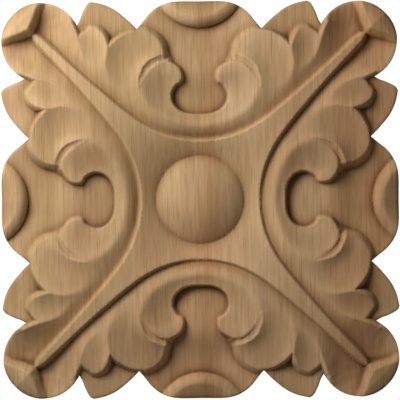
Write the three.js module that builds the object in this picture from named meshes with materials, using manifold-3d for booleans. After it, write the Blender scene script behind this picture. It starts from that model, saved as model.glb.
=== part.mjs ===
// Square carved wooden rosette: a domed boss in an X-shaped dished panel, and on each side a plate
// with a pair of scrolls whose leaves run out to the corner lobes.
// Millimetres. The carved face looks along -Y, the flat back lies on y = 0, and Z is up.
import * as THREE from "three";
import { mergeVertices } from "three/addons/utils/BufferGeometryUtils.js";
import Module from "manifold-3d";

// Driving sizes
const WIDTH = 130; // across the flat ends of opposite plates
const THICKNESS = 21; // from the flat back to the tips of the corner lobes

// The carving is set out on its own grid: plan places and radii in parts of half the width, heights
// over the back in parts of the thickness. Both kinds of part are about a third of a millimetre.
const HALF_WIDTH = 199.5;
const TIP_TOP = 64.6; // on the diagonal
const PLAN = WIDTH / (2 * HALF_WIDTH);
const RISE = THICKNESS / TIP_TOP;

// Boss and panel
const DOME_RADIUS = 44.6;
const DOME_TOP = 44.7;
const DOME_POWER = 0.966; // 1 is a parabola, less is flatter on top and steeper at the rim
const DISH_FLOOR = 29.2;
const ARM_TOP = 57.3;
const ARM_TOP_AT = 167.4; // distance from the middle where the dish has run out
const ARM_FALL = 7.71; // how far each arm sinks again towards its tip
const ARM_FALL_LENGTH = 71;
const DISH_POWER = 2.7;

// Drafts of the cut walls, as rise over run
const WALL_DRAFT = 2.2;
const GROOVE_DRAFT = 2.2;
const EYE_DRAFT = 3;
const TIP_DRAFT = 2;

// How far edges, ridges and feet are softened
const EYE_ROUND = 3; // at the top edge of the wall round the scroll
const LOBE_ROUND = 4; // at the top edge of the lobes
const TIP_ROUND = 6; // at the top edge of the corner lobe
const PANEL_ROUND = 0.5; // at the panel's edge
const FOOT_WIDTH = 0.8; // at the foot of a wall
const RIDGE_WIDTH = 1; // at the ridge between two lobes
const VALLEY_WIDTH = 2; // where the big lobe's hollow leaves the groove
const CREST_WIDTH = 2; // at the scroll's crest
const TOE = 2; // how far from a cut's floor a sloping flank sets in
const EASING = 12.6; // how far up a flank that eases off as it rises still bends

// Top of the scroll's eye
const EYE_TOP = 50.9; // where u is EYE_TOP_AT
const EYE_TOP_AT = 40;
const EYE_TOP_RISE = 0.179; // for each part further along u
const EYE_END = 113; // v where the rim of the eye starts

// Plate behind the scrolls
const PLATE_FLOOR = 32.7;
const PLATE_SWELL = 6.56; // a low swell across it
const PLATE_SWELL_AT = 130;
const PLATE_SWELL_WIDTH = 19.9;
const PLATE_SIDE_RISE = 9.4; // its sides rise towards the pointed leaves
const PLATE_SIDE_FROM = 12;
const PLATE_SIDE_RUN = 45;
const PLATE_SIDE_POWER = 1.3;
const PLATE_END_FROM = 145; // and do so only near its end
const PLATE_END_RUN = 30;

// Pointed leaf beside it
const LEAF_FLOOR = 45.9;
const LEAF_RISE = 3.58; // towards the corner lobe
const LEAF_RISE_FROM = 88;
const LEAF_RISE_RUN = 31;
const LEAF_RISE_POWER = 1.5;

// Rolled lip in the middle of each plate's end
const LIP_CENTRE = 221;
const LIP_RADIUS = 47.5;
const LIP_ROLL = 10.7; // width of its rolled edge
const LIP_TOP = 48.2;
const LIP_SLANT = 0.08; // how it sinks to each side
const LIP_FALL = 0.38; // and outwards, beyond the roll

// Rolled tip of each corner lobe
const TIP_REACH = 252.8; // distance from the middle where it starts to sink
const TIP_FALL = 0.28;
const TIP_SLANT = 0.12; // how it sinks away from the diagonal

// Only the sector between the middle of a side and the next corner is drawn: u runs along the
// side, v out from the middle, and the other seven are its mirror images.
const PANEL_EDGE = [
  [-19.9, 60.8], [0, 59.1], [19.9, 60.8], [39.8, 66.4], [59.9, 76.8], [79.9, 91.7], [99.4, 108.4],
  [119.4, 125.9], [139.2, 144.2], [159.1, 162.6], [167, 167.2],
];

// Scroll edge round the pocket, up to where its eye curls in
const SCROLL_EDGE = [
  [-10, 85.6, 9], [0, 85.1, 9], [10, 85.6, 9], [18.7, 88.3, 9], [25.5, 93.5, 8], [29.1, 100.2, 6],
  [29.3, 108.3, 5], [25, 116.3, 5.1], [19.5, 119.8, 5.1], [18.5, 125, 4.6], [20.6, 131.1, 4.6],
  [26, 135.5, 5.6], [32, 138, 3.1],
];
const EYE_RIM = [
  [32, 138, 2.33], [40.2, 137.8, 3.22], [46.8, 133.6, 3.25], [51.3, 128.5, 3.28],
  [55.1, 122.9, 3.25], [58.4, 116.2, 3.25],
];
const BIG_LOBE_EDGE = [
  [36.3, 141, 2.11], [37.5, 148.9, 2.65], [39.1, 154.9, 2.34], [42.1, 160.4, 2.15],
  [46.4, 165.1, 1.95], [52.1, 167.9, 1.49], [58, 169.3, 1.49], [64, 169.2, 2.72],
  [71.1, 167.9, 3.41], [78.2, 164.3, 3.96], [84.3, 159.7, 3.86], [91.5, 152, 3.75],
];
const SMALL_LOBE_EDGE = [
  [91.5, 152, 3.75], [94.4, 157.9, 2.68], [96, 163.7, 3.36], [99.3, 168.6, 2.42],
  [103.3, 171.7, 1.95], [108, 172.6, 1.82], [112.5, 169.7, 2.47], [116.5, 166.9, 2.89],
  [120.5, 163, 3.27],
];
const TIP_EDGE = [
  [161.7, 204, 1.44], [163.8, 196.2, 1.92], [166.2, 188.3, 3.04], [168.9, 180.3, 3.52],
  [171.2, 175.6, 3.52], [172.4, 172.4, 3.52],
];

const CORNER_LOBE_EDGE = [
  [124, 170, 3.2], [127, 178, 3.2], [127, 215, 3.2],
];
const SEAM = [64, 108]; // where scroll and lobes run into one another, on to the rim of the eye
const SEAM_FROM = 72; // u where it leaves the panel's edge
const POCKET_FROM = 80; // v beyond which ground shows between the edges
const INSIDE = -20; // outlines close this far on the inner side,
const OUTSIDE = 215; // and this far on the outer side

// Silhouette: a plate's end, the pointed leaf beside it, and the round corner lobe.
const PLATE_OUTLINE = [
  [21, HALF_WIDTH], [33, 197.6], [42, 193.9], [50, 187.4], [57, 178.6],
  [62.6, 171.8],
];
const LEAF_OUTLINE = [
  [62.6, 171.8], [71, 180.2], [84, 190.8], [96, 196.6], [108.3, 199.3],
];
const LEAF_TIP_OUTLINE = [
  [108.3, 199.3], [112.5, 196.5], [117, 188], [119.8, 180.4], [122.8, 175.4],
];
const LOBE_CENTRE = 160;
const LOBE_RADIUS = 36.8; // on the diagonal
const LOBE_NOTCH_RADIUS = 40.2; // beside the leaf
const LOBE_NOTCH_ANGLE = 157.6; // degrees from the side's own direction

// Gouge cuts. Each station is u, v, height of the cut's floor, how quickly the cut curves up to its
// left and to its right, seen along the cut, and how steeply it leaves the floor to its left.
const GROOVE_CUT = [
  [-20, 64.4, 36, -0.0434, 0, 1.37, 0], [0, 62.4, 34.1, -0.0459, 0, 1.49, 0],
  [20, 64.4, 36, -0.0434, 0, 1.37, 0], [30, 67.1, 38.3, -0.037, 0, 1.16, 0],
  [39.9, 71.1, 40.9, -0.0256, 0, 0.94, 0], [49.8, 75.8, 43.6, -0.0116, 0, 0.67, 0],
  [59.9, 82, 46, -0.0046, 0, 0.51, 0], [69.8, 89.7, 47.7, -0.0015, 0, 0.41, 0],
  [79.9, 97.7, 49.4, -0.0013, 0, 0.32, 0], [89.8, 106.1, 50.4, 0.0036, 0, 0.35, 0],
  [99.6, 115, 51.3, 0.0034, 0, 0.41, 0], [109.6, 124, 51.6, 0.0008, 0, 0.42, 0],
  [119.6, 133.4, 51.4, 0.0048, 0, 0.46, 0], [129.7, 142.5, 49.7, 0.0051, 0, 0.44, 0],
  [137.3, 150.6, 47.4, 0.008, 0.04, 0.35, 0], [144.4, 158.4, 45.3, 0.0129, 0.02, 0.18, 0],
  [149.8, 165.8, 43.8, 0.0132, 0.008, 0.17, 0], [153.3, 172.2, 43.2, 0.0066, 0.006, 0.28, 0],
  [154.4, 180, 44.9, 0.0091, 0.006, 0.2, 0], [155.5, 187, 47.8, 0.0074, 0.01, 0.1, 0],
  [157, 200, 52.2, 0.0006, 0.01, 0.16, 0],
];
const BIG_LOBE_CUT = [
  [72.4, 101.8, 52.5, 0.0124, 0.004], [75.4, 110, 52.6, 0.0118, 0.0064],
  [75.1, 117.9, 52.6, 0.0127, 0.0091], [73.8, 125.7, 52.3, 0.0166, 0.0106],
  [70.9, 134.9, 51.3, 0.0212, 0.0111], [66, 142.9, 50.2, 0.0261, 0.0094],
  [58.5, 151.5, 49, 0.0217, 0.0057], [50.1, 158.2, 47.8, 0.0109, 0.0022],
  [42.7, 162.6, 46, 0.0081, 0.0032],
];
const SMALL_LOBE_CUT = [
  [99.8, 118.8, 53.3, 0.0252, 0.012], [102.8, 128.1, 55, 0.0236, 0.012],
  [106.3, 136, 55, 0.019, 0.012], [108.1, 145, 54.5, 0.0166, 0.0133],
  [107.7, 155, 53.9, 0.0207, 0.0146], [108, 165, 53.5, 0.0191, 0.0126],
  [107.3, 176, 52.3, 0.0176, 0.0061],
];
const SCROLL_CUT = [
  [-18.6, 88.4, 42, 0.01, 0.0182, 0, 0.14], [0, 84.5, 40.6, 0.01, 0.022, 0, 0.1],
  [18.6, 88.4, 42, 0.01, 0.0182, 0, 0.14], [25.5, 93.3, 42.8, 0.01, 0.0067, 0, 0.28],
  [28.9, 100.3, 42.8, 0.01, 0.0057, 0, 0.29], [28.3, 108.8, 43, 0.01, 0.0057, 0, 0.23],
  [27.3, 120, 45.4, 0.01, 0.0073, 0, 0.1], [26.7, 130, 48.5, 0.01, 0.0102, 0, -0.01],
  [26.5, 140, 49.3, 0.01, 0.0157, 0, 0.14],
];
const COLLAR_CUT = [
  [29, 140.7, 47.1, 0.099, 0], [36, 141.5, 47.6, 0.068, 0], [41.9, 139.7, 49.2, 0.125, 0],
  [48.1, 136.7, 50.6, 0.143, 0], [52.8, 132.2, 51.6, 0.167, 0], [55.8, 126.9, 52.4, 0.205, 0],
  [58.9, 120.8, 53.6, 0.277, 0], [61, 114, 54.5, 0.44, 0],
];

// A spline through the stations of a line, every column interpolated alike.
function splined(stations, stepsPerSpan) {
  const last = stations.length - 1;
  return Array.from({ length: last * stepsPerSpan + 1 }, (_, i) => {
    const span = Math.min(Math.floor(i / stepsPerSpan), last - 1);
    const t = i / stepsPerSpan - span;
    const at = (k) => stations[THREE.MathUtils.clamp(span + k, 0, last)];
    return at(0).map((_, c) =>
      catmullRom(t, at(-1)[c], at(0)[c], at(1)[c], at(2)[c]),
    );
  });
}

function catmullRom(t, before, from, to, after) {
  const leave = (to - before) / 2;
  const arrive = (after - from) / 2;
  const cubic = (2 * from - 2 * to + leave + arrive) * t ** 3;
  return cubic + (3 * to - 3 * from - 2 * leave - arrive) * t ** 2 + leave * t + from;
}

// The point of a line nearest to u, v: how far off it is, on which side, and its other columns.
function nearest(line, u, v) {
  let best = { distance: Infinity };
  for (let i = 0; i + 1 < line.length; i++) {
    const [au, av] = line[i];
    const [bu, bv] = line[i + 1];
    const along = (u - au) * (bu - au) + (v - av) * (bv - av);
    const t = THREE.MathUtils.clamp(along / ((bu - au) ** 2 + (bv - av) ** 2), 0, 1);
    const du = u - au - t * (bu - au);
    const dv = v - av - t * (bv - av);
    const distance = Math.hypot(du, dv);
    if (distance < best.distance)
      best = { distance, left: (bu - au) * dv - (bv - av) * du > 0, i, t };
  }
  return best;
}

// Height of a gouge cut over u, v.
function cutHeight(cut, u, v) {
  const { distance, left, i, t } = nearest(cut, u, v);
  const column = (c) => THREE.MathUtils.lerp(cut[i][c], cut[i + 1][c], t);
  const slope = cut[i].length > 5 ? column(left ? 5 : 6) : 0;
  const curve = column(left ? 3 : 4);
  const squared =
    curve < 0 && distance > EASING ? EASING * (2 * distance - EASING) : distance ** 2;
  const sloped = slope * (Math.hypot(distance, TOE) - TOE);
  return column(2) + sloped + curve * squared;
}

function isInside(outline, u, v) {
  let inside = false;
  for (let i = 0; i + 1 < outline.length; i++) {
    const [au, av] = outline[i];
    const [bu, bv] = outline[i + 1];
    if (av > v !== bv > v && u < au + ((v - av) * (bu - au)) / (bv - av)) inside = !inside;
  }
  return inside;
}

// How far a drafted wall has dropped at u, v below the edge that it starts from.
function wallDrop(outline, draft, round, u, v) {
  if (isInside(outline, u, v)) return 0;
  const { distance, i, t } = nearest(outline, u, v);
  const at = THREE.MathUtils.lerp(outline[i][2] ?? draft, outline[i + 1][2] ?? draft, t);
  return (at * distance ** 2) / (distance + round);
}

const smooth = (x) => THREE.MathUtils.smoothstep(x, 0, 1);

// The lower of two heights, with the ridge where they meet softened over a width.
function softMin(a, b, width) {
  const share = THREE.MathUtils.clamp(0.5 + (b - a) / (2 * width), 0, 1);
  return THREE.MathUtils.lerp(b, a, share) - width * share * (1 - share);
}

const FINENESS = 3; // straight steps for each span of a spline
const cuts = {
  groove: splined(GROOVE_CUT, FINENESS),
  bigLobe: splined(BIG_LOBE_CUT, FINENESS),
  smallLobe: splined(SMALL_LOBE_CUT, FINENESS),
  scroll: splined(SCROLL_CUT, FINENESS),
  collar: splined(COLLAR_CUT, FINENESS),
};
const panelEdge = splined(PANEL_EDGE, FINENESS);
const eyeRim = splined(EYE_RIM, FINENESS);
const tipEdge = splined(TIP_EDGE, FINENESS);
const seam = panelEdge.findIndex(([u]) => u > SEAM_FROM);
const outlines = {
  panel: closed([[INSIDE, INSIDE], ...panelEdge, ...acrossDiagonal(panelEdge)]),
  scroll: closed([
    ...splined(SCROLL_EDGE, FINENESS),
    ...eyeRim,
    SEAM,
    ...panelEdge.slice(0, seam + 1).toReversed(),
  ]),
  lobes: closed([
    ...splined(BIG_LOBE_EDGE, FINENESS),
    ...splined(SMALL_LOBE_EDGE, FINENESS),
    ...CORNER_LOBE_EDGE,
    ...tipEdge,
    ...panelEdge.slice(seam).toReversed(),
    SEAM,
    ...eyeRim.toReversed(),
  ]),
  tip: closed([...tipEdge, ...acrossDiagonal(tipEdge), [OUTSIDE, OUTSIDE]]),
};

const silhouette = closed([
  [INSIDE, INSIDE],
  [INSIDE, HALF_WIDTH],
  ...silhouetteSector(),
  [OUTSIDE, INSIDE],
]);

// A line's mirror image on the other side of the diagonal, run back from its end.
function acrossDiagonal(line) {
  return line.map(([u, v, ...rest]) => [v, u, ...rest]).reverse().slice(1);
}

// The silhouette from the middle of a side to the diagonal.
function silhouetteSector() {
  const steps = 8;
  const lobe = Array.from({ length: steps }, (_, i) => {
    const share = 1 - (i + 1) / (steps + 0.5); // so that no point falls on the diagonal itself
    const angle = THREE.MathUtils.degToRad(45 + share * (LOBE_NOTCH_ANGLE - 45));
    const radius = LOBE_RADIUS + share * (LOBE_NOTCH_RADIUS - LOBE_RADIUS);
    return [LOBE_CENTRE + radius * Math.cos(angle), LOBE_CENTRE + radius * Math.sin(angle)];
  });
  const plate = splined(PLATE_OUTLINE, 2);
  const leaf = splined(LEAF_OUTLINE, 2).slice(1);
  const leafTip = splined(LEAF_TIP_OUTLINE, 2).slice(1);
  return [...plate, ...leaf, ...leafTip, ...lobe];
}

function closed(points) {
  return [...points, points[0]];
}

function panelHeight(u, v) {
  const r = Math.hypot(u, v);
  const dish = Math.min((ARM_TOP_AT - r) / (ARM_TOP_AT - DOME_RADIUS), 1);
  return r < ARM_TOP_AT
    ? ARM_TOP - (ARM_TOP - DISH_FLOOR) * dish ** DISH_POWER
    : ARM_TOP - ARM_FALL * ((r - ARM_TOP_AT) / ARM_FALL_LENGTH) ** 2;
}

// The boss is a low dome that stands in the dish, steepest at its rim.
function domeHeight(u, v) {
  const left = 1 - (u ** 2 + v ** 2) / DOME_RADIUS ** 2;
  return left > 0 ? DISH_FLOOR + (DOME_TOP - DISH_FLOOR) * left ** DOME_POWER : 0;
}

function eyeTop(u) {
  return EYE_TOP + EYE_TOP_RISE * (u - EYE_TOP_AT);
}

// Scroll, lobes and corner lobe: the gouge cuts meet in ridges, and drafted walls drop at the edges.
function leavesHeight(u, v) {
  const groove = cutHeight(cuts.groove, u, v);
  const bigLobe = softMin(groove, cutHeight(cuts.bigLobe, u, v), VALLEY_WIDTH);
  const lobes = softMin(bigLobe, cutHeight(cuts.smallLobe, u, v), RIDGE_WIDTH);
  const eye = softMin(cutHeight(cuts.scroll, u, v), eyeTop(u), CREST_WIDTH);
  const scroll = softMin(lobes, eye, CREST_WIDTH);
  const scrollDrop = wallDrop(outlines.scroll, EYE_DRAFT, EYE_ROUND, u, v);
  if (scrollDrop === 0) return scroll;
  const behind = v < EYE_END ? scroll : Math.min(lobes, cutHeight(cuts.collar, u, v));
  const lobesDrop = wallDrop(outlines.lobes, WALL_DRAFT, LOBE_ROUND, u, v);
  return Math.max(scroll - scrollDrop, behind - lobesDrop);
}

function plateHeight(u, v) {
  const swell = PLATE_SWELL * Math.exp(-(((v - PLATE_SWELL_AT) / PLATE_SWELL_WIDTH) ** 2));
  const side = (Math.max(u - PLATE_SIDE_FROM, 0) / PLATE_SIDE_RUN) ** PLATE_SIDE_POWER;
  const end = smooth((v - PLATE_END_FROM) / PLATE_END_RUN);
  const floor = PLATE_FLOOR + swell + PLATE_SIDE_RISE * side * end;
  const inLip = LIP_RADIUS - Math.hypot(u, v - LIP_CENTRE);
  const crest = LIP_TOP - LIP_SLANT * u - LIP_FALL * Math.max(inLip - LIP_ROLL, 0);
  const roll = Math.sqrt(1 - (1 - THREE.MathUtils.clamp(inLip / LIP_ROLL, 0, 1)) ** 2);
  return Math.max(floor, floor + (crest - floor) * roll);
}

function leafHeight(u) {
  const share = THREE.MathUtils.clamp((u - LEAF_RISE_FROM) / LEAF_RISE_RUN, 0, 1);
  return LEAF_FLOOR + LEAF_RISE * share ** LEAF_RISE_POWER;
}

function tipHeight(u, v) {
  const beyond = Math.max(Math.hypot(u, v) - TIP_REACH, 0);
  return TIP_TOP - TIP_FALL * beyond - TIP_SLANT * (v - u);
}

// Height of the carved face over the back, in grid parts.
function relief(u, v) {
  const panelDrop = wallDrop(outlines.panel, GROOVE_DRAFT, PANEL_ROUND, u, v);
  const panel = panelHeight(u, v) - panelDrop;
  const tipDrop = wallDrop(outlines.tip, TIP_DRAFT, TIP_ROUND, u, v);
  const tip = tipHeight(u, v) - tipDrop;
  if (panelDrop === 0 || tipDrop === 0) return Math.max(panel, tip, domeHeight(u, v));
  const leaves = leavesHeight(u, v);
  const open = v > POCKET_FROM && !isInside(outlines.scroll, u, v) && !isInside(outlines.lobes, u, v);
  const ground = u < LEAF_OUTLINE[0][0] ? plateHeight(u, v) : leafHeight(u);
  return Math.max(panel, tip, open ? -softMin(-leaves, -ground, FOOT_WIDTH) : leaves);
}

// Net of triangles that carries the relief of one sector. It covers a triangle from the middle of
// the piece, by the middle of a side, to the corner of its square.
const REACH = 201;
const FACE_POINTS = 508; // points in the net
const SEED_STEP = 5; // between the points set along a drawn line
const BORDER_STEP = 10; // between the points set along the sector's borders
const WALL_FOOT = 4; // how far a wall's foot lies outside its edge
const PROBES = 4; // spots along each edge of a triangle where the relief is compared with it
const CLOSEST = 1.6; // least distance between two points, and of a point off the sector's borders

function pointAt(u, v) {
  return { u, v, height: relief(u, v) };
}

// The spot where a flat triangle departs most from the relief, with wide triangles counting more.
function worstSpot(a, b, c) {
  let worst = { error: 0 };
  const size = Math.sqrt(turn(a, b, c));
  for (let i = 0; i <= PROBES; i++)
    for (let j = 0; j <= PROBES - i; j++) {
      const shares = [i / PROBES, j / PROBES, (PROBES - i - j) / PROBES];
      const mix = (key) => shares[0] * a[key] + shares[1] * b[key] + shares[2] * c[key];
      const [u, v] = ontoBorder(mix("u"), mix("v"));
      if ([a, b, c].some((p) => Math.hypot(p.u - u, p.v - v) < CLOSEST)) continue;
      if (!isInside(silhouette, u, v)) continue;
      const spot = pointAt(u, v);
      const error = Math.abs(spot.height - mix("height")) * size;
      if (error > worst.error) worst = { spot, error };
    }
  return worst;
}

// A spot very near a border of the sector is moved onto it, so that the mirror images meet there.
function ontoBorder(u, v) {
  if (v - u < CLOSEST) return [(u + v) / 2, (u + v) / 2];
  return [u < CLOSEST ? 0 : u, v];
}

function triangle(a, b, c) {
  return { corners: [a, b, c], worst: worstSpot(a, b, c) };
}

// Twice the area of a triangle in plan, positive when its corners turn left.
function turn(a, b, c) {
  return (b.u - a.u) * (c.v - a.v) - (c.u - a.u) * (b.v - a.v);
}

function circleHolds([a, b, c], p) {
  const [d, e, f] = [a, b, c].map((q) => [q.u - p.u, q.v - p.v]);
  const squared = ([x, y]) => x * x + y * y;
  const cross = (m, n) => m[0] * n[1] - n[0] * m[1];
  return squared(d) * cross(e, f) - squared(e) * cross(d, f) + squared(f) * cross(d, e) > 1e-6;
}

// Puts a point into the net of triangles: those whose circles hold it give way to a fan round it.
function insert(net, p) {
  const given = net.filter(({ corners }) => circleHolds(corners, p));
  const edges = given.flatMap(({ corners: [a, b, c] }) => [[a, b], [b, c], [c, a]]);
  const rim = edges.filter(([a, b]) => !edges.some(([c, d]) => c === b && d === a));
  const fan = rim.filter(([a, b]) => turn(a, b, p) > 1e-6).map(([a, b]) => triangle(a, b, p));
  return [...net.filter((t) => !given.includes(t)), ...fan];
}

const domeRim = Array.from({ length: 8 }, (_, i) => {
  const angle = (Math.PI / 4) * (1 + i / 7);
  return [DOME_RADIUS * Math.cos(angle), DOME_RADIUS * Math.sin(angle)];
});
const seedLines = [
  [[[0, 0], [REACH, REACH]], 0, BORDER_STEP],
  [[[0, 0], [0, HALF_WIDTH]], 0, BORDER_STEP],
  [splined(PANEL_EDGE, 4), 0],
  [splined(GROOVE_CUT, 1), 0],
  [domeRim, 0],
  [splined(SCROLL_EDGE, 1), 0],
  [splined(SCROLL_EDGE, 1), WALL_FOOT],
  [splined(EYE_RIM, 1), 0],
  [splined(COLLAR_CUT, 1), 0],
  [splined(BIG_LOBE_EDGE, 1), 0],
  [splined(BIG_LOBE_EDGE, 1), WALL_FOOT],
  [splined(SMALL_LOBE_EDGE, 1), 0],
  [splined(SMALL_LOBE_EDGE, 1), WALL_FOOT],
  [splined(TIP_EDGE, 1), 0],
  [splined(TIP_EDGE, 1), -2 * WALL_FOOT],
];
const sectorCorners = [pointAt(0, 0), pointAt(REACH, REACH), pointAt(0, REACH)];

// Spots at even steps along a line, moved off it to its left by an offset.
function spotsAlong(line, offset, step = SEED_STEP) {
  return line.slice(1).flatMap(([bu, bv], i) => {
    const [au, av] = line[i];
    const length = Math.hypot(bu - au, bv - av);
    const steps = Math.max(1, Math.round(length / step));
    const [nu, nv] = [(av - bv) / length, (bu - au) / length];
    return Array.from({ length: steps }, (_, k) => [
      au + ((bu - au) * k) / steps + nu * offset,
      av + ((bv - av) * k) / steps + nv * offset,
    ]);
  });
}

// The net starts with the edges and feet of the walls, and is then filled where it is least true.
function sectorNet() {
  const points = [...sectorCorners];
  let net = [triangle(...sectorCorners)];
  const isFree = (spot) => points.every((p) => Math.hypot(p.u - spot.u, p.v - spot.v) >= CLOSEST);
  const add = (spot) => {
    net = insert(net, spot);
    points.push(spot);
  };
  for (const seeds of seedLines)
    for (const [u, v] of spotsAlong(...seeds)) {
      const spot = pointAt(...ontoBorder(u, v));
      if (u > -CLOSEST && v - u > -CLOSEST && isInside(silhouette, u, v) && isFree(spot)) add(spot);
    }
  while (points.length < FACE_POINTS) {
    const { worst } = net.reduce((most, t) => (t.worst.error > most.worst.error ? t : most));
    if (worst.error === 0) break;
    if (isFree(worst.spot)) add(worst.spot);
    else worst.error = 0;
  }
  return net;
}

const { Manifold, Mesh } = await loadManifold();

async function loadManifold() {
  const wasm = await Module();
  wasm.setup();
  return wasm;
}

function solidOf(geometry) {
  geometry.deleteAttribute("normal");
  geometry.deleteAttribute("uv");
  const merged = mergeVertices(geometry, 1e-4);
  return new Manifold(
    new Mesh({
      numProp: 3,
      vertProperties: merged.attributes.position.array,
      triVerts: merged.index.array,
    }),
  );
}

// A square block whose front is the relief, mirrored into all eight sectors.
function carvedBlock() {
  const positions = [];
  const place = (u, v, height) => [u * PLAN, -height * RISE, v * PLAN];
  const [middle, corner, side] = sectorCorners;
  const net = sectorNet();
  for (const swap of [false, true])
    for (const su of [1, -1])
      for (const sv of [1, -1]) {
        const at = ({ u, v }, height) =>
          swap ? place(v * sv, u * su, height) : place(u * su, v * sv, height);
        const flipped = su * sv < 0 !== swap;
        const add = (...corners) => positions.push(...(flipped ? corners.reverse() : corners).flat());
        for (const { corners: [a, b, c] } of net)
          add(at(a, a.height), at(b, b.height), at(c, c.height));
        add(at(side, 0), at(corner, 0), at(middle, 0));
        add(at(corner, 0), at(side, 0), at(side, side.height));
        add(at(corner, 0), at(side, side.height), at(corner, corner.height));
      }
  const geometry = new THREE.BufferGeometry();
  geometry.setAttribute("position", new THREE.Float32BufferAttribute(positions, 3));
  return solidOf(geometry);
}

// The whole silhouette, drawn through the block with room to spare at both faces.
function silhouetteSolid() {
  const sector = silhouetteSector();
  const side = [...sector.toReversed().map(([u, v]) => [-u, v]), ...sector];
  const middle = new THREE.Vector2();
  const RIGHT = Math.PI / 2;
  const outline = [0, 1, 2, 3].flatMap((quarter) =>
    side.map(([u, v]) => new THREE.Vector2(u * PLAN, v * PLAN).rotateAround(middle, -quarter * RIGHT)),
  );
  const spare = 1;
  const geometry = new THREE.ExtrudeGeometry(new THREE.Shape(outline), {
    depth: THICKNESS + 2 * spare,
    bevelEnabled: false,
  });
  return solidOf(geometry.rotateX(Math.PI / 2).translate(0, spare, 0));
}

function rosette() {
  const solid = carvedBlock().intersect(silhouetteSolid());
  const mesh = solid.getMesh();
  const geometry = new THREE.BufferGeometry();
  geometry.setAttribute("position", new THREE.BufferAttribute(mesh.vertProperties, mesh.numProp));
  geometry.setIndex(new THREE.BufferAttribute(mesh.triVerts, 1));
  geometry.computeVertexNormals();
  const wood = new THREE.MeshStandardMaterial({ color: 0x9a7a56, roughness: 0.6, metalness: 0 });
  const carved = new THREE.Mesh(geometry, wood);
  carved.name = "rosette";
  return carved;
}

const part = new THREE.Group();
part.add(rosette());

export default part;
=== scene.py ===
"""Square carved wooden rosette, dressed for the picture. Metres, +Z up, face to -Y, back on y = 0."""
import math

import bmesh
import bpy
import numpy as np
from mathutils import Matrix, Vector
from mathutils.geometry import delaunay_2d_cdt

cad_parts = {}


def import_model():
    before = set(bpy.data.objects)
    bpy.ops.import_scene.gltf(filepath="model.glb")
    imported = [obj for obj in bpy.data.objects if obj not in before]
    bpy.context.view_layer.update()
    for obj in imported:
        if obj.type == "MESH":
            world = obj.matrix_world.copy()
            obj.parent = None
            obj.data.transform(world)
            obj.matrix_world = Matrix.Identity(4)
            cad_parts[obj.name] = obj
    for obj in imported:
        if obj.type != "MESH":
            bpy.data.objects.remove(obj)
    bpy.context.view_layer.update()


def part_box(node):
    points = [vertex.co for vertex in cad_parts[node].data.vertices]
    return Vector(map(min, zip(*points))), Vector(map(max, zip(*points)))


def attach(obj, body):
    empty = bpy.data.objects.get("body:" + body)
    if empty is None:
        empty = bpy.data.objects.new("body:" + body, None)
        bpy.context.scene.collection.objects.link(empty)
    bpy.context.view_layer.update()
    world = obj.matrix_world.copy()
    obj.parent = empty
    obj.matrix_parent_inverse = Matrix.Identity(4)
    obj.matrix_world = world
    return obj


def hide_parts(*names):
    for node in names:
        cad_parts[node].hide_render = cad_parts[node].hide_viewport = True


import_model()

# Main sizes, from the frame
low, high = (Vector(corner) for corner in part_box("rosette"))
WIDTH = high.x - low.x
THICKNESS = high.y - low.y

# The carving is set out on its own grid: plan places and radii in parts of half the width, heights
# over the back in parts of the thickness. Both kinds of part are about a third of a millimetre.
HALF_WIDTH = 199.5
TIP_TOP = 64.6
PLAN = WIDTH / (2 * HALF_WIDTH)
RISE = THICKNESS / TIP_TOP

# Boss and panel
DOME_RADIUS = 44.6
DOME_TOP = 44.7
DOME_POWER = 0.966
DISH_FLOOR = 29.2
ARM_TOP = 57.3
ARM_TOP_AT = 167.4  # distance from the middle where the dish has run out
ARM_FALL = 7.71  # how far each arm sinks again towards its tip
ARM_FALL_LENGTH = 71
DISH_POWER = 2.7

# Drafts of the cut walls, as rise over run
WALL_DRAFT = 2.2
GROOVE_DRAFT = 2.2
EYE_DRAFT = 3
TIP_DRAFT = 2

# How far edges, ridges and feet are softened
EYE_ROUND = 3  # at the top edge of the wall round the scroll
LOBE_ROUND = 4  # at the top edge of the lobes
TIP_ROUND = 6  # at the top edge of the corner lobe
PANEL_ROUND = 0.5  # at the panel's edge
FOOT_WIDTH = 0.8  # at the foot of a wall
RIDGE_WIDTH = 1  # at the ridge between two lobes
VALLEY_WIDTH = 2  # where the big lobe's hollow leaves the groove
CREST_WIDTH = 2  # at the scroll's crest
TOE = 2  # how far from a cut's floor a sloping flank sets in
EASING = 12.6  # how far up a flank that eases off as it rises still bends

# Top of the scroll's eye
EYE_TOP = 50.9  # where u is EYE_TOP_AT
EYE_TOP_AT = 40
EYE_TOP_RISE = 0.179  # for each part further along u
EYE_END = 113  # v where the rim of the eye starts

# Plate behind the scrolls
PLATE_FLOOR = 32.7
PLATE_SWELL = 6.56  # a low swell across it
PLATE_SWELL_AT = 130
PLATE_SWELL_WIDTH = 19.9
PLATE_SIDE_RISE = 9.4  # its sides rise towards the pointed leaves
PLATE_SIDE_FROM = 12
PLATE_SIDE_RUN = 45
PLATE_SIDE_POWER = 1.3
PLATE_END_FROM = 145  # and do so only near its end
PLATE_END_RUN = 30

# Pointed leaf beside it
LEAF_FLOOR = 45.9
LEAF_RISE = 3.58  # towards the corner lobe
LEAF_RISE_FROM = 88
LEAF_RISE_RUN = 31
LEAF_RISE_POWER = 1.5

# Rolled lip in the middle of each plate's end
LIP_CENTRE = 221
LIP_RADIUS = 47.5
LIP_ROLL = 10.7  # width of its rolled edge
LIP_TOP = 48.2
LIP_SLANT = 0.08  # how it sinks to each side
LIP_FALL = 0.38  # and outwards, beyond the roll

# Rolled tip of each corner lobe
TIP_REACH = 252.8  # distance from the middle where it starts to sink
TIP_FALL = 0.28
TIP_SLANT = 0.12  # how it sinks away from the diagonal

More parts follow.
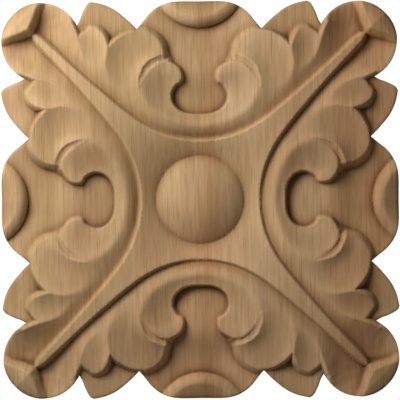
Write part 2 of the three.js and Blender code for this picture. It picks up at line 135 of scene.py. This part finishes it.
# Only the sector between the middle of a side and the next corner is drawn: u runs along the
# side, v out from the middle, and the other seven are its mirror images. The stations of the edges
# and cuts, and most levels above, are not hand-chosen: a least-squares fit to the photograph's
# shading, run by another program, moved them from where they were first drawn.
PANEL_EDGE = [
    [-19.9, 60.8], [0, 59.1], [19.9, 60.8], [39.8, 66.4], [59.9, 76.8], [79.9, 91.7], [99.4, 108.4],
    [119.4, 125.9], [139.2, 144.2], [159.1, 162.6], [167, 167.2],
]

# Scroll edge round the pocket, up to where its eye curls in. The third number is the wall's draft.
SCROLL_EDGE = [
    [-10, 85.6, 9], [0, 85.1, 9], [10, 85.6, 9], [18.7, 88.3, 9], [25.5, 93.5, 8], [29.1, 100.2, 6],
    [29.3, 108.3, 5], [25, 116.3, 5.1], [19.5, 119.8, 5.1], [18.5, 125, 4.6], [20.6, 131.1, 4.6],
    [26, 135.5, 5.6], [32, 138, 3.1],
]
EYE_RIM = [
    [32, 138, 2.33], [40.2, 137.8, 3.22], [46.8, 133.6, 3.25], [51.3, 128.5, 3.28],
    [55.1, 122.9, 3.25], [58.4, 116.2, 3.25],
]
BIG_LOBE_EDGE = [
    [36.3, 141, 2.11], [37.5, 148.9, 2.65], [39.1, 154.9, 2.34], [42.1, 160.4, 2.15],
    [46.4, 165.1, 1.95], [52.1, 167.9, 1.49], [58, 169.3, 1.49], [64, 169.2, 2.72],
    [71.1, 167.9, 3.41], [78.2, 164.3, 3.96], [84.3, 159.7, 3.86], [91.5, 152, 3.75],
]
SMALL_LOBE_EDGE = [
    [91.5, 152, 3.75], [94.4, 157.9, 2.68], [96, 163.7, 3.36], [99.3, 168.6, 2.42],
    [103.3, 171.7, 1.95], [108, 172.6, 1.82], [112.5, 169.7, 2.47], [116.5, 166.9, 2.89],
    [120.5, 163, 3.27],
]
TIP_EDGE = [
    [161.7, 204, 1.44], [163.8, 196.2, 1.92], [166.2, 188.3, 3.04], [168.9, 180.3, 3.52],
    [171.2, 175.6, 3.52], [172.4, 172.4, 3.52],
]
CORNER_LOBE_EDGE = [
    [124, 170, 3.2], [127, 178, 3.2], [127, 215, 3.2],
]
SEAM = [64, 108]  # where scroll and lobes run into one another, on to the rim of the eye
SEAM_FROM = 72  # u where it leaves the panel's edge
POCKET_FROM = 80  # v beyond which ground shows between the edges
INSIDE = -20  # outlines close this far on the inner side,
OUTSIDE = 215  # and this far on the outer side

# Silhouette: a plate's end, the pointed leaf beside it, and the round corner lobe.
PLATE_OUTLINE = [
    [21, HALF_WIDTH], [33, 197.6], [42, 193.9], [50, 187.4], [57, 178.6],
    [62.6, 171.8],
]
LEAF_OUTLINE = [
    [62.6, 171.8], [71, 180.2], [84, 190.8], [96, 196.6], [108.3, 199.3],
]
LEAF_TIP_OUTLINE = [
    [108.3, 199.3], [112.5, 196.5], [117, 188], [119.8, 180.4], [122.8, 175.4],
]
LOBE_CENTRE = 160
LOBE_RADIUS = 36.8  # on the diagonal
LOBE_NOTCH_RADIUS = 40.2  # beside the leaf
LOBE_NOTCH_ANGLE = 157.6  # degrees from the side's own direction

# Gouge cuts. Each station is u, v, height of the cut's floor, and how quickly the cut curves up to
# its left and to its right, seen along the cut. Some also say how steeply it leaves the floor there.
GROOVE_CUT = [
    [-20, 64.4, 36, -0.0434, 0, 1.37, 0], [0, 62.4, 34.1, -0.0459, 0, 1.49, 0],
    [20, 64.4, 36, -0.0434, 0, 1.37, 0], [30, 67.1, 38.3, -0.037, 0, 1.16, 0],
    [39.9, 71.1, 40.9, -0.0256, 0, 0.94, 0], [49.8, 75.8, 43.6, -0.0116, 0, 0.67, 0],
    [59.9, 82, 46, -0.0046, 0, 0.51, 0], [69.8, 89.7, 47.7, -0.0015, 0, 0.41, 0],
    [79.9, 97.7, 49.4, -0.0013, 0, 0.32, 0], [89.8, 106.1, 50.4, 0.0036, 0, 0.35, 0],
    [99.6, 115, 51.3, 0.0034, 0, 0.41, 0], [109.6, 124, 51.6, 0.0008, 0, 0.42, 0],
    [119.6, 133.4, 51.4, 0.0048, 0, 0.46, 0], [129.7, 142.5, 49.7, 0.0051, 0, 0.44, 0],
    [137.3, 150.6, 47.4, 0.008, 0.04, 0.35, 0], [144.4, 158.4, 45.3, 0.0129, 0.02, 0.18, 0],
    [149.8, 165.8, 43.8, 0.0132, 0.008, 0.17, 0], [153.3, 172.2, 43.2, 0.0066, 0.006, 0.28, 0],
    [154.4, 180, 44.9, 0.0091, 0.006, 0.2, 0], [155.5, 187, 47.8, 0.0074, 0.01, 0.1, 0],
    [157, 200, 52.2, 0.0006, 0.01, 0.16, 0],
]
BIG_LOBE_CUT = [
    [72.4, 101.8, 52.5, 0.0124, 0.004], [75.4, 110, 52.6, 0.0118, 0.0064],
    [75.1, 117.9, 52.6, 0.0127, 0.0091], [73.8, 125.7, 52.3, 0.0166, 0.0106],
    [70.9, 134.9, 51.3, 0.0212, 0.0111], [66, 142.9, 50.2, 0.0261, 0.0094],
    [58.5, 151.5, 49, 0.0217, 0.0057], [50.1, 158.2, 47.8, 0.0109, 0.0022],
    [42.7, 162.6, 46, 0.0081, 0.0032],
]
SMALL_LOBE_CUT = [
    [99.8, 118.8, 53.3, 0.0252, 0.012], [102.8, 128.1, 55, 0.0236, 0.012],
    [106.3, 136, 55, 0.019, 0.012], [108.1, 145, 54.5, 0.0166, 0.0133],
    [107.7, 155, 53.9, 0.0207, 0.0146], [108, 165, 53.5, 0.0191, 0.0126],
    [107.3, 176, 52.3, 0.0176, 0.0061],
]
SCROLL_CUT = [
    [-18.6, 88.4, 42, 0.01, 0.0182, 0, 0.14], [0, 84.5, 40.6, 0.01, 0.022, 0, 0.1],
    [18.6, 88.4, 42, 0.01, 0.0182, 0, 0.14], [25.5, 93.3, 42.8, 0.01, 0.0067, 0, 0.28],
    [28.9, 100.3, 42.8, 0.01, 0.0057, 0, 0.29], [28.3, 108.8, 43, 0.01, 0.0057, 0, 0.23],
    [27.3, 120, 45.4, 0.01, 0.0073, 0, 0.1], [26.7, 130, 48.5, 0.01, 0.0102, 0, -0.01],
    [26.5, 140, 49.3, 0.01, 0.0157, 0, 0.14],
]
COLLAR_CUT = [
    [29, 140.7, 47.1, 0.099, 0], [36, 141.5, 47.6, 0.068, 0], [41.9, 139.7, 49.2, 0.125, 0],
    [48.1, 136.7, 50.6, 0.143, 0], [52.8, 132.2, 51.6, 0.167, 0], [55.8, 126.9, 52.4, 0.205, 0],
    [58.9, 120.8, 53.6, 0.277, 0], [61, 114, 54.5, 0.44, 0],
]


def splined(stations, steps=4):
    """A spline through the stations of a line, every column interpolated alike."""
    stations = np.array(stations, float)
    last = len(stations) - 1
    t = np.arange(last * steps + 1) / steps
    span = np.minimum(t.astype(int), last - 1)
    t = (t - span)[:, None]
    before, start, end, after = (stations[np.clip(span + k, 0, last)] for k in (-1, 0, 1, 2))
    leave = (end - before) / 2
    arrive = (after - start) / 2
    cubic = (2 * start - 2 * end + leave + arrive) * t**3
    return cubic + (3 * end - 3 * start - 2 * leave - arrive) * t**2 + leave * t + start


def nearest(line, u, v):
    """Distance of each u, v from a line, whether it lies to the left, and the line's columns there."""
    start, end = line[:-1], line[1:]
    run = (end - start)[:, :2]
    du = u[:, None] - start[:, 0]
    dv = v[:, None] - start[:, 1]
    t = np.clip((du * run[:, 0] + dv * run[:, 1]) / (run**2).sum(1), 0, 1)
    du = du - t * run[:, 0]
    dv = dv - t * run[:, 1]
    distance = np.hypot(du, dv)
    best = distance.argmin(1)
    row = np.arange(len(u))
    left = run[best, 0] * dv[row, best] - run[best, 1] * du[row, best] > 0
    t = t[row, best][:, None]
    return distance[row, best], left, start[best] * (1 - t) + end[best] * t


def is_inside(outline, u, v):
    """Whether each u, v lies inside a closed outline."""
    inside = np.zeros(len(u), bool)
    for (au, av, *_), (bu, bv, *_) in zip(outline[:-1], outline[1:]):
        if av != bv:
            inside ^= ((av > v) != (bv > v)) & (u < au + (v - av) * (bu - au) / (bv - av))
    return inside


def cut_height(cut, u, v):
    """Height of a gouge cut."""
    distance, left, at = nearest(cut, u, v)
    curve = np.where(left, at[:, 3], at[:, 4])
    slope = np.where(left, at[:, 5], at[:, 6]) if at.shape[1] > 5 else 0
    squared = np.where((curve < 0) & (distance > EASING), EASING * (2 * distance - EASING), distance**2)
    return at[:, 2] + slope * (np.hypot(distance, TOE) - TOE) + curve * squared


def wall_drop(outline, edge_round, u, v):
    """How far a drafted wall has dropped below the edge that it starts from."""
    distance, _, at = nearest(outline, u, v)
    drop = at[:, 2] * distance**2 / (distance + edge_round)
    return np.where(is_inside(outline, u, v), 0, drop)


def soft_min(a, b, width):
    """The lower of two heights, with the ridge where they meet softened over a width."""
    share = np.clip(0.5 + (b - a) / (2 * width), 0, 1)
    return b + (a - b) * share - width * share * (1 - share)


def smooth(x):
    """An even passage from 0 to 1."""
    x = np.clip(x, 0, 1)
    return x * x * (3 - 2 * x)


def closed(*stretches, draft):
    """One closed outline from stretches of points, with a draft where a stretch has none."""
    points = [[*p[:2], p[2] if len(p) > 2 else draft] for stretch in stretches for p in stretch]
    points = [p for p, following in zip(points, points[1:] + points[:1]) if p[:2] != following[:2]]
    return np.array([*points, points[0]])


def across_diagonal(line):
    """A line's mirror image on the other side of the diagonal, run back from its end."""
    return np.hstack([line[:, 1::-1], line[:, 2:]])[-2::-1]


groove_cut = splined(GROOVE_CUT)
big_lobe_cut = splined(BIG_LOBE_CUT)
small_lobe_cut = splined(SMALL_LOBE_CUT)
scroll_cut = splined(SCROLL_CUT)
collar_cut = splined(COLLAR_CUT)
panel_edge = splined(PANEL_EDGE)
eye_rim = splined(EYE_RIM)
tip_edge = splined(TIP_EDGE)
scroll_edge = splined(SCROLL_EDGE)
lobe_edge = np.concatenate([splined(BIG_LOBE_EDGE), splined(SMALL_LOBE_EDGE)[1:]])
seam = int((panel_edge[:, 0] <= SEAM_FROM).sum())
scroll_side = panel_edge[seam::-1]
lobes_side = panel_edge[: seam - 1 : -1]
panel_outline = closed([[INSIDE, INSIDE]], panel_edge, across_diagonal(panel_edge), draft=GROOVE_DRAFT)
scroll_outline = closed(scroll_edge, eye_rim, [SEAM], scroll_side, draft=EYE_DRAFT)
lobes_outline = closed(
    lobe_edge, CORNER_LOBE_EDGE, tip_edge, lobes_side, [SEAM], eye_rim[::-1], draft=WALL_DRAFT
)
tip_outline = closed(tip_edge, across_diagonal(tip_edge), [[OUTSIDE, OUTSIDE]], draft=TIP_DRAFT)
around = np.radians(np.linspace(90, 45, 30))[:, None]
dome_rim = DOME_RADIUS * np.hstack([np.cos(around), np.sin(around)])


def silhouette_sector():
    """The silhouette from the middle of a side to the diagonal."""
    plate = splined([[0, HALF_WIDTH], *PLATE_OUTLINE], 6)
    leaf = splined(LEAF_OUTLINE, 8)
    leaf_tip = splined(LEAF_TIP_OUTLINE, 4)
    share = np.linspace(1, 0, 60)[1:]
    angle = np.radians(45 + share * (LOBE_NOTCH_ANGLE - 45))
    radius = LOBE_RADIUS + share * (LOBE_NOTCH_RADIUS - LOBE_RADIUS)
    lobe = LOBE_CENTRE + radius[:, None] * np.stack([np.cos(angle), np.sin(angle)], 1)
    return np.concatenate([plate, leaf[1:], leaf_tip[1:], lobe])


def panel_height(u, v):
    """The dished panel, which rises into four arms that sink again towards their tips."""
    r = np.hypot(u, v)
    dish = np.clip((ARM_TOP_AT - r) / (ARM_TOP_AT - DOME_RADIUS), 0, 1)
    inner = ARM_TOP - (ARM_TOP - DISH_FLOOR) * dish**DISH_POWER
    return np.where(r < ARM_TOP_AT, inner, ARM_TOP - ARM_FALL * ((r - ARM_TOP_AT) / ARM_FALL_LENGTH) ** 2)


def dome_height(u, v):
    """The boss is a low dome that stands in the dish, steepest at its rim."""
    left = np.clip(1 - (u**2 + v**2) / DOME_RADIUS**2, 0, 1)
    return np.where(left > 0, DISH_FLOOR + (DOME_TOP - DISH_FLOOR) * left**DOME_POWER, 0)


def leaves_height(u, v):
    """Scroll, lobes and corner lobe: the cuts meet in ridges, and drafted walls drop at the edges."""
    big_lobe = soft_min(cut_height(groove_cut, u, v), cut_height(big_lobe_cut, u, v), VALLEY_WIDTH)
    lobes = soft_min(big_lobe, cut_height(small_lobe_cut, u, v), RIDGE_WIDTH)
    eye = soft_min(cut_height(scroll_cut, u, v), EYE_TOP + EYE_TOP_RISE * (u - EYE_TOP_AT), CREST_WIDTH)
    scroll = soft_min(lobes, eye, CREST_WIDTH)
    scroll_drop = wall_drop(scroll_outline, EYE_ROUND, u, v)
    behind = np.where(v < EYE_END, scroll, np.minimum(lobes, cut_height(collar_cut, u, v)))
    front = np.maximum(scroll - scroll_drop, behind - wall_drop(lobes_outline, LOBE_ROUND, u, v))
    return np.where(scroll_drop == 0, scroll, front)


def plate_height(u, v):
    """The plate behind the scrolls, with the rolled lip at its end."""
    swell = PLATE_SWELL * np.exp(-(((v - PLATE_SWELL_AT) / PLATE_SWELL_WIDTH) ** 2))
    side = (np.maximum(u - PLATE_SIDE_FROM, 0) / PLATE_SIDE_RUN) ** PLATE_SIDE_POWER
    end = smooth((v - PLATE_END_FROM) / PLATE_END_RUN)
    floor = PLATE_FLOOR + swell + PLATE_SIDE_RISE * side * end
    in_lip = LIP_RADIUS - np.hypot(u, v - LIP_CENTRE)
    crest = LIP_TOP - LIP_SLANT * u - LIP_FALL * np.maximum(in_lip - LIP_ROLL, 0)
    roll = np.sqrt(1 - (1 - np.clip(in_lip / LIP_ROLL, 0, 1)) ** 2)
    return np.maximum(floor, floor + (crest - floor) * roll)


def leaf_height(u):
    """The pointed leaf beside the plate."""
    share = np.clip((u - LEAF_RISE_FROM) / LEAF_RISE_RUN, 0, 1)
    return LEAF_FLOOR + LEAF_RISE * share**LEAF_RISE_POWER


def tip_height(u, v):
    """The rolled tip of a corner lobe."""
    beyond = np.maximum(np.hypot(u, v) - TIP_REACH, 0)
    return TIP_TOP - TIP_FALL * beyond - TIP_SLANT * (v - u)


def relief(u, v):
    """Height of the carved face over the back, in grid parts."""
    panel_drop = wall_drop(panel_outline, PANEL_ROUND, u, v)
    panel = panel_height(u, v) - panel_drop
    tip_drop = wall_drop(tip_outline, TIP_ROUND, u, v)
    whole = np.maximum(np.maximum(panel, dome_height(u, v)), tip_height(u, v) - tip_drop)
    leaves = leaves_height(u, v)
    ground = np.where(u < LEAF_OUTLINE[0][0], plate_height(u, v), leaf_height(u))
    is_open = (v > POCKET_FROM) & ~is_inside(scroll_outline, u, v) & ~is_inside(lobes_outline, u, v)
    leaves = np.where(is_open, -soft_min(-leaves, -ground, FOOT_WIDTH), leaves)
    return np.where((panel_drop == 0) | (tip_drop == 0), whole, np.maximum(whole, leaves))


# Net of one sector, in grid parts
CLOSE = 0.92  # between its points on edges, ridges and walls
WIDE = 1.9  # between its points on open ground
BEND = 0.64  # how far the face bends away from flat for its points to be close
BEND_STEP = 1.5  # over which that is looked at
CLEARANCE = 0.6  # least distance of a point from the sector's borders, as a share of the spacing
LINE_CLEARANCE = 0.7  # and from a drawn line
ROW = math.sqrt(0.75)  # from row to row of even triangles
EDGE_SOFTENING = 1.6  # width over which the arris round the face is worn down
EDGE_DROP = 0.96  # and how far it drops at the rim


def even_steps(line, step):
    """A drawn line as points at even steps."""
    line = line[:, :2]
    along = np.concatenate([[0], np.cumsum(np.hypot(*np.diff(line, axis=0).T))])
    at = np.linspace(0, along[-1], max(2, round(along[-1] / step) + 1))
    return np.stack([np.interp(at, along, line[:, k]) for k in (0, 1)], 1)


def in_sector(points, outline, margin):
    """Whether each point lies inside the sector, and off its borders by a margin."""
    u, v = points.T
    return (u > margin) & (v - u > margin) & is_inside(outline, u, v)


def grid(spacing, outline):
    """Points inside a sector in rows of even triangles."""
    rows = np.arange(0, HALF_WIDTH, spacing * ROW)
    spots = [[(i % 2) / 2 * spacing + u, v] for i, v in enumerate(rows) for u in np.arange(0, v, spacing)]
    spots = np.array(spots)
    return spots[in_sector(spots, outline, spacing * CLEARANCE)]


def is_bent(points):
    """Whether the face bends much at each point: on edges, ridges and the feet of walls."""
    u, v = points.T
    middle = 2 * relief(u, v)
    across = relief(u - BEND_STEP, v) + relief(u + BEND_STEP, v) - middle
    out = relief(u, v - BEND_STEP) + relief(u, v + BEND_STEP) - middle
    return np.abs(across) + np.abs(out) > BEND


def sector_points(outline):
    """Points inside one sector: along the drawn lines, and a grid that is closer where the face bends."""
    lines = [panel_edge, eye_rim, tip_edge, scroll_edge, lobe_edge, dome_rim]
    drawn = np.concatenate([even_steps(line, CLOSE) for line in lines])
    drawn = drawn[in_sector(drawn, outline, CLOSE * CLEARANCE)]
    close = grid(CLOSE, outline)
    close = close[is_bent(close)]
    for line in lines:
        close = close[nearest(line[:, :2], *close.T)[0] > CLOSE * LINE_CLEARANCE]
    wide = grid(WIDE, outline)
    wide = wide[~is_bent(wide)]
    points = np.concatenate([drawn, close, wide])
    return points[nearest(outline[:, :2], *points.T)[0] > CLOSE * CLEARANCE]


def sector_net():
    """Points of one sector and the triangles between them."""
    rim = even_steps(silhouette_sector(), CLOSE)
    middle = even_steps(np.array([[0, 0], [0, HALF_WIDTH]]), CLOSE)
    diagonal = even_steps(np.array([rim[-1], [0, 0]]), CLOSE)
    outline = np.concatenate([middle[:-1], rim, diagonal[1:]])
    inner = sector_points(outline)
    border = len(outline) - 1
    points = [Vector(p) for p in (*outline[:-1], *inner)]
    edges = [(i, (i + 1) % border) for i in range(border)]
    net = delaunay_2d_cdt(points, edges, [list(range(border))], 1, 1e-4)
    return np.array([tuple(p) for p in net[0]]), np.array([f for f in net[2]]), rim


def worn(height, u, v, rim):
    """The face's height with its outer arris rounded off."""
    distance = nearest(rim, u, v)[0]
    return height - EDGE_DROP * np.clip(1 - distance / EDGE_SOFTENING, 0, 1) ** 2


def mirrored(points, triangles, heights):
    """The whole face from one sector, its seams welded."""
    every_point = []
    every_triangle = []
    for swapped in (False, True):
        for sign_x in (1, -1):
            for sign_z in (1, -1):
                x, z = points.T[::-1] if swapped else points.T
                turned = swapped != (sign_x * sign_z < 0)
                every_triangle.append(triangles[:, ::-1 if turned else 1] + len(points) * len(every_point))
                every_point.append(np.stack([sign_x * x, sign_z * z, heights], 1))
    every_point = np.concatenate(every_point)
    _, first, welded = np.unique(
        np.round(every_point[:, :2], 3), axis=0, return_index=True, return_inverse=True
    )
    return every_point[first], welded.reshape(-1)[np.concatenate(every_triangle)]


def rosette_mesh():
    """The carved face, the sawn sides and the flat back as one closed mesh."""
    points, triangles, rim = sector_net()
    u, v = points.T
    face, faces = mirrored(points, triangles, worn(relief(u, v), u, v, rim))
    mesh = bpy.data.meshes.new("rosette_carved")
    places = [(x * PLAN, high.y - h * RISE, z * PLAN) for x, z, h in face]
    mesh.from_pydata(places, [], faces.tolist())
    x, z = np.sort(abs(face[:, :2]), axis=1).T
    # The hollow measure goes to the wood, which paints shade into the cuts and a highlight onto raised
    # spots with it
    mesh.attributes.new("hollow", "FLOAT", "POINT").data.foreach_set("value", hollows(x, z, face[:, 2]))
    form = bmesh.new()
    form.from_mesh(mesh)
    border = [edge for edge in form.edges if edge.is_boundary]
    wall = bmesh.ops.extrude_edge_only(form, edges=border)
    lowered = [g for g in wall["geom"] if isinstance(g, bmesh.types.BMVert)]
    hollow = form.verts.layers.float["hollow"]
    for vertex in lowered:
        vertex.co.y = high.y
        vertex[hollow] = 0
    back = [g for g in wall["geom"] if isinstance(g, bmesh.types.BMEdge)]
    bmesh.ops.contextual_create(form, geom=back)
    bmesh.ops.recalc_face_normals(form, faces=form.faces)
    for facet in form.faces:
        facet.smooth = True
    for edge in [*border, *back]:
        edge.smooth = False
    form.to_mesh(mesh)
    form.free()
    return mesh


# Hollows: the wood is painted darker in the cuts, partly the dirt and wax old wood holds there and partly
# painted shade for the shade that falls in them; raised spots are painted lighter, a painted highlight
HOLLOW_REACH = 5.5  # grid parts over which a spot is compared with what lies round it
HOLLOW_DEPTH = 9  # grid parts below its surroundings at which a spot is darkest
MAP_REACH = 200  # grid parts from the middle to the border of the map of surroundings


def sideways_mean(heights, reach):
    """Heights smoothed over a reach with a bell-shaped weight."""
    steps = np.arange(-3 * int(reach), 3 * int(reach) + 1)
    weights = np.exp(-((steps / reach) ** 2) / 2)
    for axis in (0, 1):
        heights = np.apply_along_axis(np.convolve, axis, heights, weights, "same")
    return heights


def hollows(u, v, heights):
    """How far each u, v lies below what is round it: 0 on open ground and ridges, 1 in a deep cut."""
    steps = np.arange(-float(MAP_REACH), MAP_REACH + 1)
    across, out = np.meshgrid(steps, steps)
    near = np.minimum(abs(across), abs(out)).ravel()
    far = np.maximum(abs(across), abs(out)).ravel()
    sector = silhouette_sector()
    whole = np.concatenate([[[0, 0], [0, HALF_WIDTH]], sector, [[0, 0]]])
    wood_here = is_inside(whole, near + 1e-3, far + 2e-3).reshape(across.shape).astype(float)
    square = relief(near, far).reshape(across.shape) * wood_here
    weight = np.maximum(sideways_mean(wood_here, HOLLOW_REACH), 1e-6)
    around = sideways_mean(square, HOLLOW_REACH) / weight
    column = np.minimum(u + MAP_REACH, 2 * MAP_REACH - 0.1)
    row = np.minimum(v + MAP_REACH, 2 * MAP_REACH - 0.1)
    i = column.astype(int)
    j = row.astype(int)
    s = column - i
    t = row - j
    upper = around[j + 1, i] * (1 - s) + around[j + 1, i + 1] * s
    lower = around[j, i] * (1 - s) + around[j, i + 1] * s
    return (lower * (1 - t) + upper * t - heights) / HOLLOW_DEPTH


# Wood
DEPTH_SHARE = 0.15  # how much of its figure changes with depth, so that it runs on over the carving
# Upright bands of other wood: place of the middle and half width in metres, and tint in the middle
BANDS = [
    (-0.0105, 0.0055, (1.06, 1.1, 1.12)),
    (0.0026, 0.0048, (0.91, 0.85, 0.77)),
    (0.0152, 0.005, (1.06, 1.09, 1.12)),
    (0.058, 0.006, (0.95, 0.91, 0.86)),
]


def node(tree, kind, inputs=None, **settings):
    """A new shader node with its inputs, each a value or another node's output."""
    made = tree.nodes.new(kind)
    for name, value in settings.items():
        setattr(made, name, value)
    for name, value in (inputs or {}).items():
        if isinstance(value, bpy.types.NodeSocket):
            tree.links.new(value, made.inputs[name])
        else:
            made.inputs[name].default_value = value
    return made


def stretched_noise(tree, place, grain, scale, detail=3.0, rough=0.5):
    """Noise drawn out along the grain: scale is per metre across, and grain times less along it."""
    sizes = (scale, scale * DEPTH_SHARE, scale / grain)
    mapping = node(tree, "ShaderNodeMapping", {"Vector": place, "Scale": sizes})
    noise = node(
        tree,
        "ShaderNodeTexNoise",
        {"Vector": mapping.outputs["Vector"], "Scale": 1.0, "Detail": detail, "Roughness": rough},
    )
    return noise.outputs["Fac"]


def multiplied(tree, a, b):
    """Two colours multiplied with one another."""
    mix = node(tree, "ShaderNodeMix", {0: 1.0}, data_type="RGBA", blend_type="MULTIPLY")
    tree.links.new(a, mix.inputs[6])
    tree.links.new(b, mix.inputs[7])
    return mix.outputs[2]


def ramp(tree, value, *stops):
    """A colour for each value, from stops that are a position and a colour."""
    made = node(tree, "ShaderNodeValToRGB", {"Fac": value})
    elements = made.color_ramp.elements
    while len(elements) < len(stops):
        elements.new(0.5)
    for element, (position, colour) in zip(elements, stops):
        element.position = position
        element.color = (*colour, 1)
    return made.outputs["Color"]


def band(tree, place, middle, half_width, tint):
    """The tint of one upright, slightly wavy band, and white outside it."""
    across = node(tree, "ShaderNodeSeparateXYZ", {"Vector": place}).outputs["X"]
    wave = stretched_noise(tree, place, 12, 60, 1.0, 0.5)
    waved = node(tree, "ShaderNodeMath", {0: wave, 1: half_width, 2: across}, operation="MULTIPLY_ADD")
    centre = middle + half_width / 2
    off = node(tree, "ShaderNodeMath", {0: waved.outputs[0], 1: centre}, operation="SUBTRACT")
    distance = node(tree, "ShaderNodeMath", {0: off.outputs[0]}, operation="ABSOLUTE")
    share = node(tree, "ShaderNodeMath", {0: distance.outputs[0], 1: half_width}, operation="DIVIDE")
    return ramp(tree, share.outputs[0], (0.2, tint), (1.0, (1, 1, 1)))


def wood():
    """Old, lightly waxed hardwood with its grain upright."""
    material = bpy.data.materials.new("wood")
    material.use_nodes = True
    tree = material.node_tree
    shader = tree.nodes["Principled BSDF"]
    place = node(tree, "ShaderNodeTexCoord").outputs["Object"]
    bands = stretched_noise(tree, place, 14, 160, 3.0, 0.6)
    streaks = stretched_noise(tree, place, 14, 1150, 2.0, 0.6)
    lines = stretched_noise(tree, place, 40, 1900, 1.0, 0.5)
    zones = stretched_noise(tree, place, 5, 30, 2.0, 0.5)
    base = ramp(
        tree,
        bands,
        (0.3, (0.44, 0.274, 0.134)),
        (0.5, (0.5, 0.317, 0.16)),
        (0.7, (0.54, 0.352, 0.187)),
    )
    fibre = ramp(tree, streaks, (0.3, (0.855, 0.84, 0.815)), (0.65, (1.045, 1.045, 1.05)))
    streaked = multiplied(tree, base, fibre)
    tint = ramp(tree, zones, (0.35, (0.96, 1.0, 0.94)), (0.5, (1, 1, 1)), (0.65, (1.05, 0.975, 0.95)))
    tinted = multiplied(tree, streaked, tint)
    pores = ramp(tree, lines, (0.25, (0.79, 0.745, 0.69)), (0.41, (1, 1, 1)))
    figured = multiplied(tree, tinted, pores)
    for middle, half_width, tint in BANDS:
        figured = multiplied(tree, figured, band(tree, place, middle, half_width, tint))
    # Painted shade and highlight: the colour darkens in the cuts, partly the grime held there and partly
    # painted shade, and raised spots are painted lighter, a painted highlight
    hollow = node(tree, "ShaderNodeAttribute", attribute_name="hollow").outputs["Fac"]
    shifted = node(tree, "ShaderNodeMath", {0: hollow, 1: 0.5}, operation="ADD").outputs[0]
    grime_shade_and_highlight = ramp(
        tree,
        shifted,
        (0.1, (1.04, 1.06, 1.1)),
        (0.45, (1, 1, 1)),
        (0.7, (0.76, 0.7, 0.62)),
        (1.0, (0.36, 0.27, 0.19)),
    )
    finished = multiplied(tree, figured, grime_shade_and_highlight)
    tree.links.new(finished, shader.inputs["Base Color"])
    shader.inputs["Roughness"].default_value = 0.68
    shader.inputs["Specular IOR Level"].default_value = 0.24
    bump = node(tree, "ShaderNodeBump", {"Strength": 0.3, "Distance": 0.0001, "Height": streaks})
    tree.links.new(bump.outputs["Normal"], shader.inputs["Normal"])
    return material


def rosette():
    piece = bpy.data.objects.new("rosette_wood", rosette_mesh())
    bpy.context.collection.objects.link(piece)
    piece.data.materials.append(wood())
    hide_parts("rosette")
    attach(piece, "root")
    return piece


# Picture: the piece is seen straight on, turned a little
PICTURE = 400  # pixels along each side of the photograph
PIXEL = WIDTH / 399.4
CENTRE_X = 0.35  # the piece's middle, in pixels right of and over the picture's
CENTRE_Z = 0.25
ROLL = math.radians(0.42)
DISTANCE = 1.1
SENSOR = 0.036


def camera():
    data = bpy.data.cameras.new("camera")
    data.sensor_width = SENSOR * 1000
    data.lens = SENSOR * 1000 * DISTANCE / (PICTURE * PIXEL)
    made = bpy.data.objects.new("camera", data)
    bpy.context.collection.objects.link(made)
    made.location = (-CENTRE_X * PIXEL, low.y - DISTANCE, -CENTRE_Z * PIXEL)
    made.rotation_euler = (math.radians(90), ROLL, 0)
    bpy.context.scene.camera = made


FILL = 0.11  # strength of the even light from all round
FLOOR_DEPTH = 0.3  # from the piece's middle down to the floor


def lamp(name, azimuth, elevation, distance, size, power, colour):
    """A round soft light that faces the piece, placed by its angles as the camera sees them."""
    data = bpy.data.lights.new(name, "AREA")
    data.shape = "DISK"
    data.size = size
    data.energy = power
    data.color = colour
    made = bpy.data.objects.new(name, data)
    bpy.context.collection.objects.link(made)
    azimuth, elevation = math.radians(azimuth), math.radians(elevation)
    flat = math.cos(elevation)
    away = Vector((math.cos(azimuth) * flat, -math.sin(elevation), math.sin(azimuth) * flat))
    made.location = away * distance
    made.rotation_euler = away.to_track_quat("Z", "Y").to_euler()


def world():
    """Even pale surroundings: white to the eye, and dimmer as a light."""
    made = bpy.data.worlds.new("surroundings")
    bpy.context.scene.world = made
    made.use_nodes = True
    tree = made.node_tree
    tree.nodes.clear()
    fill = node(tree, "ShaderNodeBackground", {"Color": (1, 0.97, 0.88, 1), "Strength": FILL})
    seen = node(tree, "ShaderNodeBackground", {"Color": (1, 1, 1, 1), "Strength": 1.0})
    path = node(tree, "ShaderNodeLightPath").outputs["Is Camera Ray"]
    mix = node(tree, "ShaderNodeMixShader", {"Fac": path})
    tree.links.new(fill.outputs[0], mix.inputs[1])
    tree.links.new(seen.outputs[0], mix.inputs[2])
    output = node(tree, "ShaderNodeOutputWorld")
    tree.links.new(mix.outputs[0], output.inputs["Surface"])


def floor():
    bpy.ops.mesh.primitive_plane_add(size=6, location=(0, 0, -FLOOR_DEPTH))
    made = bpy.context.object
    made.name = "floor"
    material = bpy.data.materials.new("floor")
    material.use_nodes = True
    shader = material.node_tree.nodes["Principled BSDF"]
    shader.inputs["Base Color"].default_value = (0.8, 0.8, 0.79, 1)
    shader.inputs["Roughness"].default_value = 0.9
    made.data.materials.append(material)


rosette()
camera()
lamp("key", 140, 44.5, 0.24, 0.13, 0.585, (1, 0.99, 0.985))
world()
floor()
bpy.context.scene.view_settings.view_transform = "Standard"
